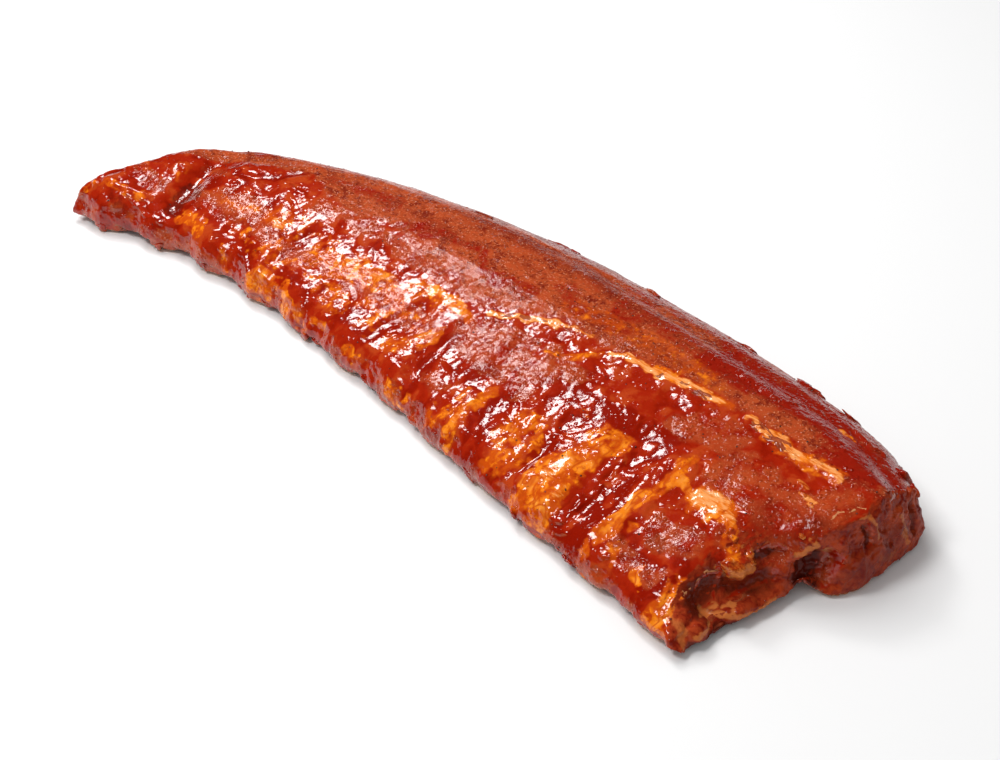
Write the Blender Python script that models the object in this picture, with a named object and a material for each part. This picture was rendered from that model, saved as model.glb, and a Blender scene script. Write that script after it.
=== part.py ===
"""A whole rack of pork loin ribs, marinated and glazed, uncut and lying bone side down.

The rack is one solid. It starts as a box divided evenly along, across and upwards. Every point of
the box is then moved to its place in the meat by its three shares: u along the rack, from the thick
cut end (0) to the narrow end (1); v across it, from the rib tips (0) to the edge of the loin (1);
and w from the side it lies on (0) to the top (1).

+X points to the thick cut end, +Y to the loin edge and +Z up. The rack lies on z = 0, with the
origin under the middle of its length and width.
"""

import math

import bmesh
import bpy
import numpy as np

# ---------------------------------------------------------------- driving sizes, in metres unless noted

MM = 0.001

# Seven lengths of rack between eight stations, in mm. At each one: where the rib tips end (x, y),
# where the loin ends (x, y), how high the rib tips stand, and how high the crown of the loin stands.
STATIONS = np.array([
    (199, -73, 223, 45, 13, 36),
    (154, -68, 184, 63, 16, 35),
    (78, -59, 112, 73, 17, 35),
    (-12, -47, 14, 76, 17, 34),
    (-90, -41, -74, 66, 17, 32),
    (-150, -43, -142, 46, 17, 30),
    (-194, -54, -192, 17, 17, 27),
    (-217, -62, -214, -35, 16, 20),
]) * MM

GRID = (76, 28, 5)  # divisions along, across and up
DENSER_ALONG = 0.35  # how much closer the divisions stand at both ends and at both edges
DENSER_ACROSS = 0.45

CROWN_AT = 0.66  # share of the width where the loin stands highest
LOIN_SHOULDER = 20 * MM  # radius of the loin's rounded long edge
LOIN_SHOULDER_DROP = 14 * MM
RIB_SHOULDER = 9 * MM  # radius of the rounded rib tips
RIB_SHOULDER_DROP = 6 * MM
LOIN_END_SHOULDER = 8 * MM  # rounding at the top of the thick end's loin lobe
LOIN_END_DROP = 3 * MM
RIB_END_SHOULDER = 38 * MM  # the rib lobe slopes down to its cut over a longer way
RIB_END_DROP = 12 * MM
TIP_SHOULDER = 9 * MM  # rounding at the narrow end
TIP_DROP = 3 * MM
RIB_UNDER_ROUND = 6 * MM  # rounding along the lower edges
RIB_UNDER_RISE = 2.5 * MM
LOIN_UNDER_ROUND = 9 * MM
LOIN_UNDER_RISE = 5 * MM
THINNEST = 6.5 * MM  # no edge is thinner than this

RIB_PITCH = 34.5 * MM
FIRST_RIB = 144.5 * MM  # x of the rib whose tip shows first behind the thick end
RIB_LEAN = 0.15  # how far the ribs of the narrow half lean: x per y
RIB_SWELL = 1.3 * MM  # how far each rib lifts the top over it
TIP_SCALLOP = 2.2 * MM  # how far each rib tip stands out of the edge in the narrow half
BONE_RELIEF = 2.0 * MM  # the hollows between the bones underneath
ARCH = 4.5 * MM  # how far the bone side arches off the table between rib tips and loin

CLEFT_AT = 0.50  # share of the width where the cleft parts the two lobes of the thick cut end
CLEFT_HEIGHT = 7 * MM
CLEFT_DEPTH = 6 * MM
LOIN_LOBE = 6.5 * MM  # how far the loin lobe swells out of the cut
RIB_LOBE_SKEW = 7 * MM  # how much the rib lobe's cut turns from the loin's
RIB_SET_BACK = 8 * MM  # how far the top of each lobe stands back from its lower edge
LOIN_SET_BACK = 5 * MM
END_REACH = 0.44  # metres of rack from end to end, for the rounding of the ends

SEAM_STEP = 1.6 * MM  # the loin muscle stands this much over the rib meat along the fat seam
STRIP_DROP = 5 * MM  # how much lower than the crown the loin's outer strip lies
GROOVE_DEPTH = 2.4 * MM  # between the loin muscle and the thin strip along its outer edge
GROOVE_WIDTH = 0.03  # share of the width

RIB_BELLY = 1.5 * MM  # how far the sides bulge between their top and bottom edges
LOIN_BELLY = 2.0 * MM
TIP_BELLY = 2.0 * MM
RESTING = 0.35 * MM  # what is lower than this is pressed flat against the table


# ---------------------------------------------------------------- curves and bumps

def along_stations(u):
    """The station values at each u, on a smooth curve through all the stations (Catmull-Rom)."""
    last = len(STATIONS) - 1
    place = np.clip(u, 0, 1) * last
    start = np.minimum(place.astype(int), last - 1)
    t = (place - start)[:, None]
    padded = np.vstack([2 * STATIONS[0] - STATIONS[1], STATIONS, 2 * STATIONS[-1] - STATIONS[-2]])
    a, b, c, d = (padded[start + i] for i in range(4))
    return 0.5 * (2 * b + (c - a) * t + (2 * a - 5 * b + 4 * c - d) * t**2 + (3 * b - a - 3 * c + d) * t**3)


def smooth_step(x, low, high):
    t = np.clip((x - low) / (high - low), 0, 1)
    return t * t * (3 - 2 * t)


def hill(x, middle, width):
    """1 at the middle, falling to nothing about two widths away."""
    return np.exp(-((x - middle) / width) ** 2)


def rounding(distance, radius, drop):
    """How far a rounded edge has dropped at a distance in from it: a quarter of an ellipse."""
    inside = np.clip(1 - distance / radius, 0, 1)
    return drop * (1 - np.sqrt(1 - inside**2))


def patch(x, y, middle, size, turn):
    """A long soft mound: 1 at the middle (mm), with half-sizes along and across its own direction."""
    turn = math.radians(turn)
    dx = x / MM - middle[0]
    dy = y / MM - middle[1]
    along = dx * math.cos(turn) + dy * math.sin(turn)
    across = dy * math.cos(turn) - dx * math.sin(turn)
    return np.exp(-((along / size[0]) ** 2) - (across / size[1]) ** 2)


# ---------------------------------------------------------------- the forms of the rack

def rib_wave(x, y):
    """1 over each rib and -1 between two ribs."""
    lean = RIB_LEAN * (1 - smooth_step(x, -0.12, 0.02))
    return np.cos(2 * math.pi * (x + lean * (y + 0.04) - FIRST_RIB) / RIB_PITCH)


# Single lumps and hollows of the top: middle (mm), half-sizes (mm), turn (degrees) and height (mm).
LUMPS = (
    ("knob of meat over the last whole rib", (166, -42), (13, 11), 0, 2.6),
    ("valley where the glaze gathers", (127, -34), (30, 6), 90, -2.6),
    ("meat between the two broad ribs", (94, -40), (14, 7), 60, -1.2),
    ("deep fold before the narrow tip", (-170, -20), (27, 6.5), 104, -6.5),
    ("rolled lobe of the narrow tip", (-197, -45), (16, 7), 10, 2.5),
    ("dip beside the tip's crest", (-160, 14), (26, 6), 30, -2.0),
    ("bulge of the loin beyond the middle", (-40, 20), (60, 24), -8, 1.4),
)


def top_height(u, v, x, y, tips, crown, width):
    rise = np.sin(0.5 * math.pi * np.clip(v / CROWN_AT, 0, 1)) ** 1.15
    height = tips + (crown - tips) * rise - STRIP_DROP * smooth_step(v, 0.74, 0.95)
    height = height - rounding(v * width, RIB_SHOULDER, RIB_SHOULDER_DROP)
    height = height - rounding((1 - v) * width, LOIN_SHOULDER, LOIN_SHOULDER_DROP)

    over_ribs = 1 - smooth_step(v, 0.30, 0.55)
    height = height + RIB_SWELL * rib_wave(x, y) * over_ribs

    seam = 0.74 - 0.62 * u
    seam_share = (1 - smooth_step(u, 0.45, 0.65)) * (1 - smooth_step(v, 0.8, 0.95))
    height = height + SEAM_STEP * np.tanh((v - seam) / 0.03) * seam_share
    groove = 0.86 - 0.10 * u
    height = height - GROOVE_DEPTH * hill(v, groove, GROOVE_WIDTH) * (1 - smooth_step(u, 0.25, 0.50))
    for _, middle, size, turn, rise_mm in LUMPS:
        height = height + rise_mm * MM * patch(x, y, middle, size, turn)

    loin_lobe = smooth_step(v, 0.42, 0.60)
    from_cut = u * END_REACH
    loin_end = rounding(from_cut, LOIN_END_SHOULDER, LOIN_END_DROP)
    rib_end = rounding(from_cut, RIB_END_SHOULDER, RIB_END_DROP) * smooth_step(v, 0, 0.2)
    height = height - loin_lobe * loin_end - (1 - loin_lobe) * rib_end
    return height - rounding((1 - u) * END_REACH, TIP_SHOULDER, TIP_DROP)


def under_height(u, v, x, y, width):
    arch = ARCH * np.sin(math.pi * np.clip((v - 0.06) / 0.60, 0, 1)) ** 2
    arch = arch * smooth_step(u, 0.02, 0.10) * (1 - smooth_step(u, 0.86, 0.97))
    between = 0.5 * (1 - rib_wave(x, y))
    bones = BONE_RELIEF * between * smooth_step(v, 0.02, 0.10) * (1 - smooth_step(v, 0.55, 0.66))
    edges = rounding(v * width, RIB_UNDER_ROUND, RIB_UNDER_RISE)
    edges = edges + rounding((1 - v) * width, LOIN_UNDER_ROUND, LOIN_UNDER_RISE)
    notch = CLEFT_HEIGHT * hill(v, CLEFT_AT, 0.035) * (1 - smooth_step(u, 0.02, 0.09))
    return arch + bones + edges + notch


def place_in_meat(shares):
    u, v, w = shares.T
    rib_x, rib_y, loin_x, loin_y, tips, crown = along_stations(u).T
    x = rib_x + (loin_x - rib_x) * v
    y = rib_y + (loin_y - rib_y) * v
    width = np.hypot(loin_x - rib_x, loin_y - rib_y)

    # The rib tips stand out of the edge one by one, most of all towards the narrow end.
    tip_share = (1 - smooth_step(v, 0.0, 0.16)) * smooth_step(u, 0.04, 0.12)
    y = y - TIP_SCALLOP * rib_wave(x, y) * tip_share * (0.35 + 0.65 * smooth_step(u, 0.3, 0.6))

    # The thick cut end: two lobes, of rib meat and of loin, with a cleft between them.
    at_end = 1 - smooth_step(u, 0.0, 0.13)
    loin_lobe = smooth_step(v, CLEFT_AT - 0.03, CLEFT_AT + 0.02)
    bulge = np.sin(math.pi * np.clip((v - CLEFT_AT + 0.03) / (1.03 - CLEFT_AT), 0, 1) ** 0.7)
    lobes = loin_lobe * LOIN_LOBE * bulge - (1 - loin_lobe) * RIB_LOBE_SKEW * v
    set_back = (1 - loin_lobe) * RIB_SET_BACK * w**1.5 + loin_lobe * LOIN_SET_BACK * w**2
    cleft = CLEFT_DEPTH * hill(v, CLEFT_AT + 0.02, 0.05) * hill(w, 0.45, 0.35)
    x = x + (lobes - set_back - cleft) * at_end

    top = top_height(u, v, x, y, tips, crown, width)
    under = under_height(u, v, x, y, width)
    z = under + np.maximum(top - under, THINNEST) * w

    # The sides bulge a little between their top and bottom edges.
    belly = 4 * w * (1 - w)
    y = y - RIB_BELLY * belly * (1 - smooth_step(v, 0.0, 0.05))
    y = y + LOIN_BELLY * belly * smooth_step(v, 0.95, 1.0) * smooth_step(u, 0.0, 0.05)
    x = x - TIP_BELLY * belly * smooth_step(u, 0.97, 1.0)
    z = np.where(z < RESTING, 0, z)
    return np.stack([x, y, z], axis=1)


# ---------------------------------------------------------------- building

def divided_box(divisions):
    """A unit box with the given number of divisions along each of its three sides."""
    mesh = bmesh.new()
    bmesh.ops.create_cube(mesh, size=1)
    bmesh.ops.translate(mesh, vec=(0.5, 0.5, 0.5), verts=mesh.verts)
    for axis, count in enumerate(divisions):
        along_axis = [
            edge for edge in mesh.edges
            if abs(edge.verts[0].co[axis] - edge.verts[1].co[axis]) > 0.5
        ]
        bmesh.ops.subdivide_edges(mesh, edges=along_axis, cuts=count - 1, use_grid_fill=True)
    return mesh


def denser_at_ends(share, amount):
    """Moves even divisions towards both ends, where the shape turns fastest."""
    return share - amount * np.sin(2 * math.pi * share) / (2 * math.pi)


def meat_material():
    material = bpy.data.materials.new("glazed pork")
    material.use_nodes = True
    shader = material.node_tree.nodes["Principled BSDF"]
    shader.inputs["Base Color"].default_value = (0.36, 0.045, 0.015, 1)
    shader.inputs["Roughness"].default_value = 0.3
    shader.inputs["Metallic"].default_value = 0
    return material


def build_rack():
    mesh = divided_box(GRID)
    shares = np.array([vert.co[:] for vert in mesh.verts])
    shares[:, 0] = denser_at_ends(1 - shares[:, 0], DENSER_ALONG)
    shares[:, 1] = denser_at_ends(shares[:, 1], DENSER_ACROSS)
    places = place_in_meat(shares)
    places[:, :2] -= (places[:, :2].min(axis=0) + places[:, :2].max(axis=0)) / 2
    for vert, place in zip(mesh.verts, places):
        vert.co = place
    bmesh.ops.triangulate(mesh, faces=mesh.faces)
    data = bpy.data.meshes.new("rib_rack")
    mesh.to_mesh(data)
    mesh.free()
    data.materials.append(meat_material())
    data.shade_smooth()
    rack = bpy.data.objects.new("rib_rack", data)
    bpy.context.scene.collection.objects.link(rack)
    return rack


for existing in list(bpy.data.objects):
    bpy.data.objects.remove(existing)
build_rack()
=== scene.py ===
# %% [markdown]
# # A glazed rack of ribs
# This lesson dresses a plain solid of a rack of pork ribs, so that it looks like marinated meat. The solid already
# has the true size and form: twelve ribs side by side, the thick loin muscle along one edge, one wide cut end and a
# narrow tip. Here it gets what makes it look good to eat: muscle and membrane, fat, a thick red glaze and spice.
# All sizes are in millimetres until a point is written into a mesh, because cooks and butchers measure that way.

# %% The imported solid, its box and its sizes
import math

import bmesh
import bpy
import numpy as np
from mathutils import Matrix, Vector


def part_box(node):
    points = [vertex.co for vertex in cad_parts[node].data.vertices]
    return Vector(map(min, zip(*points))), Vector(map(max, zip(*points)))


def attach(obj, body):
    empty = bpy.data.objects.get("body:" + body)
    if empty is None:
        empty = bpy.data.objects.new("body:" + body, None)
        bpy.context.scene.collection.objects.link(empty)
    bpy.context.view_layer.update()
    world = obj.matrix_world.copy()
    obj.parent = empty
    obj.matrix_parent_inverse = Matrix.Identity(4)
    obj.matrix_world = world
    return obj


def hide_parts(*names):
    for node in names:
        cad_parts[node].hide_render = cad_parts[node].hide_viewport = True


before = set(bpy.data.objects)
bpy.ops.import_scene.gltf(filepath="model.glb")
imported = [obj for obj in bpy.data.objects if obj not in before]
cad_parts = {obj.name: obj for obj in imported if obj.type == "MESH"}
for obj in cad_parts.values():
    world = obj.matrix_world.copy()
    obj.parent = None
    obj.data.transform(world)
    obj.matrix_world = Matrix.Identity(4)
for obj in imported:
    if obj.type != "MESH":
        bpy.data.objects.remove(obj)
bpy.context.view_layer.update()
MM = 0.001
SOLID = "rib_rack"
LOW = np.array(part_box(SOLID)[0]) / MM
HIGH = np.array(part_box(SOLID)[1]) / MM
print("the solid goes from", LOW.round(1), "to", HIGH.round(1), "mm")

# %% [markdown]
# ## Camera
# The camera comes first, so that every later step can be looked at. It looks down on the rack at 37 degrees from
# beyond the wide end, on the side of the rib tips. The lens is a short telephoto: near and far end keep an honest
# size, but the near end still looms.

# %% Camera
CAMERA_PLACE = (0.4848, -0.4477, 0.4813)
CAMERA_AIM = (0.0266, -0.0026, 0.0)
CAMERA_LENS = 64.8  # mm, on a film 36 mm wide


def add_camera():
    data = bpy.data.cameras.new("camera")
    data.lens = CAMERA_LENS
    data.sensor_width = 36
    camera = bpy.data.objects.new("camera", data)
    bpy.context.scene.collection.objects.link(camera)
    camera.location = CAMERA_PLACE
    view = Vector(CAMERA_AIM) - Vector(CAMERA_PLACE)
    camera.rotation_euler = view.to_track_quat("-Z", "Y").to_euler()
    bpy.context.scene.camera = camera
    return camera


camera = add_camera()
print("camera", [round(v, 3) for v in camera.location])

# %% [markdown]
# ## Where the light comes from
# Glaze is a mirror. It shows a bright patch wherever it leans so that the soft light is mirrored to the eye. So the
# light is placed before the surface is shaped: from the left rear, a little over half way up.

# %% The soft light's place
def on_dome(azimuth, elevation, distance):
    """A place on a dome over the rack. Azimuth is in degrees from +X, turning towards +Y."""
    turn, rise = math.radians(azimuth), math.radians(elevation)
    level = distance * math.cos(rise)
    return (level * math.cos(turn), level * math.sin(turn), distance * math.sin(rise))


SOFTBOX_PLACE = on_dome(166, 49, 1.2)


def mirror_facing(at):
    """The direction in which the surface would have to face, at each place in mm, to mirror the light to the eye."""
    to_light = np.array(SOFTBOX_PLACE) - at * MM
    to_eye = np.array(CAMERA_PLACE) - at * MM
    to_light /= np.linalg.norm(to_light, axis=1, keepdims=True)
    to_eye /= np.linalg.norm(to_eye, axis=1, keepdims=True)
    half = to_light + to_eye
    return half / np.linalg.norm(half, axis=1, keepdims=True)


print("the table mirrors it if it leans", (mirror_facing(np.zeros((1, 3)))[0] * 90).round(1))

# %% [markdown]
# ## Noise and strokes
# Meat has no straight lines. Two helpers draw everything that follows. `noise` gives smooth, repeatable hills and
# hollows of a chosen size. `stroke` gives 1 along a line drawn through a few points and falls to 0 beside it, like
# one stroke of a soft brush. Strokes are drawn in coordinates that noise has pushed about, so their edges are ragged.

# %% Noise
CELL_PRIMES = np.array([374761393, 668265263, 2147483647])


def scattered(cells, seed):
    """A repeatable number from -1 to 1 for each whole-numbered cell."""
    n = (cells * CELL_PRIMES).sum(axis=-1) + seed * 1013904223
    n = (n ^ (n >> 13)) * 1274126177
    n = (n ^ (n >> 16)) & 0xFFFFFF
    return n / 0x7FFFFF - 1


def noise(at, size, seed=0):
    """Smooth hills and hollows from about -1 to 1, each about `size` mm wide. `size` may differ by axis."""
    place = at / size
    cell = np.floor(place).astype(np.int64)
    t = place - cell
    t = t * t * t * (t * (6 * t - 15) + 10)
    total = 0
    for corner in np.ndindex(2, 2, 2):
        share = np.prod(np.where(corner, t, 1 - t), axis=-1)
        total = total + share * scattered(cell + np.array(corner), seed)
    return total


def layered(at, size, seed=0, layers=3):
    """Noise with finer and weaker noise on top of it."""
    size = np.asarray(size, float)
    parts = [noise(at + 17.3 * i, size / 2**i, seed + i) * 0.5**i for i in range(layers)]
    return sum(parts)


def ridges(at, size, seed=0):
    """Thin winding ridges: 1 on the ridge, falling quickly to 0."""
    return np.clip(1 - 2.6 * np.abs(noise(at, size, seed)), 0, 1) ** 1.5


def beads(at, spacing, keep, seed=0):
    """Small round bumps as a height from 0 to 1, at most one in each cell; keep is the share of cells with one."""
    cell = np.floor(at / spacing).astype(np.int64)
    height = np.zeros(len(at))
    for corner in np.ndindex(3, 3, 3):
        near = cell + np.array(corner) - 1
        jitter = np.stack([scattered(near, seed + i) for i in range(3)], axis=1)
        distance = np.linalg.norm(at / spacing - near - 0.5 - 0.4 * jitter, axis=1)
        radius = 0.42 + 0.16 * scattered(near, seed + 3)
        bump = (1 - np.minimum(distance / radius, 1) ** 2) ** 2 * radius / 0.58
        height = np.maximum(height, bump * (scattered(near, seed + 4) < 2 * keep - 1))
    return height


def step(x, low, high):
    """0 up to low, 1 from high, and smooth between."""
    t = np.clip((x - low) / (high - low), 0, 1)
    return t * t * (3 - 2 * t)


# %% Strokes
def nearest_on_line(at, points):
    """The nearest place on the line through these points."""
    points = np.array(points, float)
    if len(points) == 1:
        return np.broadcast_to(points, (len(at), 2))
    found = np.zeros((len(at), 2))
    shortest = np.full(len(at), np.inf)
    for a, b in zip(points[:-1], points[1:]):
        along = np.clip(((at - a) @ (b - a)) / ((b - a) @ (b - a)), 0, 1)
        place = a + along[:, None] * (b - a)
        distance = np.linalg.norm(at - place, axis=1)
        found = np.where((distance < shortest)[:, None], place, found)
        shortest = np.minimum(shortest, distance)
    return found


def stroke(at, points, half_width):
    """1 on the line through these points, falling to 0 at half_width (mm) from it."""
    distance = np.linalg.norm(at - nearest_on_line(at, points), axis=1)
    return step(half_width - distance, 0, 0.6 * half_width)


def soft_stroke(at, points, half_width):
    """Like stroke, but round all over, like a thumb's mark."""
    distance = np.linalg.norm(at - nearest_on_line(at, points), axis=1)
    return (1 - np.minimum(distance / half_width, 1) ** 2) ** 2


def painted(at, strokes):
    """The strongest of several strokes at each place. A stroke is (strength, half width, point, point, ...)."""
    total = np.zeros(len(at))
    for strength, half_width, *points in strokes:
        near = stroke(at, points, half_width)
        total = np.maximum(total, strength * near)
    return total


def pushed_about(at, amount, size, seed):
    """Flat coordinates moved to and fro by noise, which makes drawn edges ragged."""
    push = np.stack([layered(at, size, seed), layered(at, size, seed + 40)], axis=1)
    return at[:, :2] + amount * push


# %% [markdown]
# ## Mesh helpers
# The solid is copied, welded and rebuilt as an even net of small quads that can take detail.

# %% Mesh helpers
def places(piece):
    found = np.empty(len(piece.data.vertices) * 3, np.float32)
    piece.data.vertices.foreach_get("co", found)
    return found.reshape(-1, 3).astype(float) / MM


def move_to(piece, at):
    piece.data.vertices.foreach_set("co", (at * MM).astype(np.float32).ravel())
    piece.data.update()


def facing(piece):
    """The direction in which the surface faces at each vertex."""
    found = np.empty(len(piece.data.vertices) * 3, np.float32)
    piece.data.vertex_normals.foreach_get("vector", found)
    return found.reshape(-1, 3).astype(float)


def triangles(piece):
    return sum(len(face.vertices) - 2 for face in piece.data.polygons)


def select_only(piece):
    bpy.ops.object.select_all(action="DESELECT")
    piece.select_set(True)
    bpy.context.view_layer.objects.active = piece


def apply_modifier(piece, kind, **settings):
    modifier = piece.modifiers.new(kind.lower(), kind)
    for name, value in settings.items():
        setattr(modifier, name, value)
    select_only(piece)
    bpy.ops.object.modifier_apply(modifier=modifier.name)


# %% [markdown]
# ## The meat
# A copy of the solid is welded, its triangles are joined to quads, and Subdivision rounds the facets. Remesh then
# gives it quads of one size all over, as a sculptor does before adding detail, and Smooth takes away its steps.

# %% The meat: an even skin over the solid
SKIN_QUAD = 1.25  # mm


def rounded_copy():
    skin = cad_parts[SOLID].copy()
    skin.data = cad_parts[SOLID].data.copy()
    skin.name = "rack_meat"
    skin.data.materials.clear()
    for key in list(skin.keys()):
        del skin[key]
    skin.parent = None
    bpy.context.scene.collection.objects.link(skin)
    select_only(skin)
    bpy.ops.object.mode_set(mode="EDIT")
    bpy.ops.mesh.select_all(action="SELECT")
    bpy.ops.mesh.remove_doubles(threshold=0.00002)
    bpy.ops.mesh.tris_convert_to_quads()
    bpy.ops.object.mode_set(mode="OBJECT")
    apply_modifier(skin, "SUBSURF", levels=2, render_levels=2)
    apply_modifier(skin, "REMESH", mode="VOXEL", voxel_size=SKIN_QUAD * MM)
    apply_modifier(skin, "SMOOTH", factor=0.5, iterations=6)
    return skin


skin = rounded_copy()
print("the skin has", triangles(skin), "triangles")

# %% [markdown]
# ## Where everything lies
# Each list below is a small map, in mm from the middle of the rack: +x runs to the wide cut end and +y to the loin.
# Fat is pale and stands a little proud. Amber is membrane and thin fat under a film of marinade. Pools are where the
# glaze gathers, deep red and mirror smooth. The shade maps lay painted shade, dark colour, into folds and hollows.

# %% Map of the fat
FAT = (
    (1.0, 2.6, (18, 1), (26, 4), (33, 7), (41, 10), (48, 12)),
    (0.8, 1.4, (49, 13), (57, 13.5), (66, 14)),
    (1.0, 2.4, (78, 12), (86, 14), (95, 14.5)),
    (1.0, 3.2, (95, 14), (105, 16), (115, 17), (125, 18), (134, 18.5)),
    (0.9, 1.5, (147, 18.5), (154, 18), (161, 16)),
    (0.9, 3.0, (160, 16), (167, 16.5), (172, 14), (178, 13)),
    (0.9, 2.6, (177, 13), (184, 14.5), (192, 15), (197, 13)),
    (0.9, 2.2, (191, -1), (196, -3)),
    (0.6, 1.6, (186, 4), (189, 3)),
    (1.0, 7.0, (161, -25), (169, -24)),
    (0.8, 2.4, (175, -27), (179, -30)),
    (0.7, 5.0, (-4, -5), (4, -6)),
    (0.7, 4.0, (-114, -15), (-108, -15)),
    (0.6, 4.0, (-50, -12), (-38, -10)),
    (0.75, 5.0, (106, -42), (104, -50)),
    (0.6, 4.0, (114, -52), (112, -58)),
    (0.6, 3.0, (50, -46), (49, -54)),
)

# %% Map of the amber membrane
AMBER = (
    (1.0, 11, (112, -24), (109, -36), (108, -50), (110, -60)),
    (1.0, 7, (99, -44), (99, -60)),
    (0.9, 9, (76, -34), (74, -44), (80, -50), (78, -57)),
    (0.8, 4, (86, -36), (90, -48), (86, -58)),
    (0.8, 3, (93, -20), (100, -19)),
    (0.95, 5, (52, -31), (50, -40), (48, -48), (51, -57)),
    (0.8, 3.5, (42, -38), (43, -47), (40, -56)),
    (0.6, 3, (34, -50), (36, -56)),
    (1.0, 5.5, (146, -16), (147, -26), (144, -36), (142, -47), (141, -60)),
    (0.9, 3, (150, -22), (160, -29)),
    (0.9, 10, (163, -26), (172, -27)),
    (0.8, 4, (180, -30), (188, -38)),
    (0.7, 3, (150, -50), (149, -60), (153, -66)),
    (0.9, 8, (179, -60), (184, -72)),
    (0.6, 4, (140, -68), (128, -66)),
    (0.7, 3, (164, -62), (170, -68)),
    (0.5, 3, (57, -2), (68, 5), (80, 10)),
    (0.35, 9, (45, 24), (90, 27), (125, 24)),
    (0.6, 3.5, (92, 14), (105, 17), (118, 18), (136, 19)),
    (0.65, 5.5, (160, 16), (178, 14), (197, 14)),
    (0.5, 11, (-116, -13), (-70, -14), (-10, -16)),
    (0.5, 8, (-108, -32), (-60, -30), (0, -36)),
    (0.3, 6, (-165, -22), (-125, -18)),
    (0.9, 6, (-12, -6), (0, -6), (10, -7)),
    (0.7, 5, (-26, -5), (-14, -6)),
    (0.8, 7, (-58, -11), (-44, -14), (-34, -16)),
    (0.5, 7, (-84, -18), (-72, -24), (-62, -20)),
    (0.7, 3.5, (-22, -16), (-26, -27), (-36, -26)),
    (0.7, 4, (6, -20), (4, -30), (-4, -26)),
    (0.6, 4, (-96, -12), (-99, -24), (-92, -32)),
    (0.6, 5, (-116, -15), (-104, -17)),
    (0.5, 3.5, (-122, -28), (-108, -34)),
    (0.5, 3.5, (-150, -18), (-138, -22), (-130, -16)),
    (0.8, 4, (-160, -37), (-150, -36), (-140, -39)),
    (1.0, 3.6, (-101, -46), (-92, -41), (-80, -40), (-70, -44), (-58, -47)),
    (0.8, 3, (-54, -42), (-46, -42)),
    (0.8, 3, (-26, -47), (-18, -48)),
    (0.8, 3.5, (8, -50), (14, -53), (20, -50)),
    (0.6, 3, (-218, -58), (-206, -50), (-195, -46), (-184, -43)),
    (0.4, 4, (-206, -26), (-192, -34)),
    (0.35, 4, (-184, -14), (-180, -24)),
    (0.6, 3, (-124, -38), (-116, -44)),
    (0.5, 2, (175, 44), (182, 42)),
)

# %% Map of the glaze pools
POOLS = (
    (1.0, 10, (128, -9), (128, -24), (129, -40), (130, -52), (131, -68)),
    (0.8, 8, (84, -12), (97, -14), (110, -11), (122, -13)),
    (0.5, 7, (26, -10), (44, -11), (60, -12), (76, -12)),
    (0.7, 8, (14, -18), (14, -30), (14, -42), (16, -48)),
    (0.55, 7, (-12, -15), (-15, -25), (-19, -36)),
    (0.55, 6, (-93, -9), (-92, -20), (-95, -32)),
    (0.6, 7, (-46, -32), (-32, -35), (-18, -40)),
    (0.6, 7, (-82, -34), (-70, -36), (-58, -36)),
    (0.5, 6, (-90, -6), (-76, -8), (-66, -9)),
    (1.0, 10, (-171, -12), (-169, -24), (-167, -36), (-165, -44)),
    (0.9, 4, (-160, -5), (-148, -1), (-139, 5), (-135, 15), (-132, 20)),
    (0.9, 6, (174, -50), (177, -60), (172, -68)),
    (0.8, 5, (152, -57), (160, -60)),
    (0.8, 7, (60, -34), (60, -44), (63, -55)),
    (0.6, 6, (91, -40), (91, -52)),
    (0.6, 6, (30, -38), (30, -50)),
    (0.5, 6, (-135, -30), (-128, -38)),
    (0.5, 6, (-108, -28), (-110, -38)),
    (0.4, 9, (150, 5), (172, 2), (185, -8)),
)

# %% Map of the marinade that lies on the loin
FILM = (
    (0.9, 14, (118, 38), (150, 41), (190, 33), (205, 25)),
    (0.7, 16, (110, 55), (160, 52), (200, 45)),
    (0.6, 10, (185, 22), (207, 14)),
    (0.5, 12, (60, 60), (110, 62)),
    (0.45, 9, (60, 38), (110, 37)),
    (0.5, 9, (-30, 66), (40, 66)),
    (0.5, 12, (-130, 45), (-90, 55), (-50, 62)),
    (0.6, 12, (-200, 10), (-170, 28), (-140, 40)),
    (0.5, 6, (-60, 20), (-20, 22), (20, 18)),
    (0.4, 7, (-120, 20), (-80, 26)),
    (0.4, 8, (40, 28), (70, 26)),
)

# %% Map of the painted shade: dark colour laid into folds and valleys, where shade falls
FOLD_SHADE_MAP = (
    (0.5, 5, (202, -13), (207, -8)),
    (0.35, 6, (205, 20), (209, 30)),
    (0.3, 10, (180, -20), (192, -18)),
    (0.7, 7, (-170, -20), (-167, -36)),
    (0.5, 6, (-195, -52), (-186, -52)),
    (0.5, 5, (160, -50), (166, -52)),
)

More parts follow.
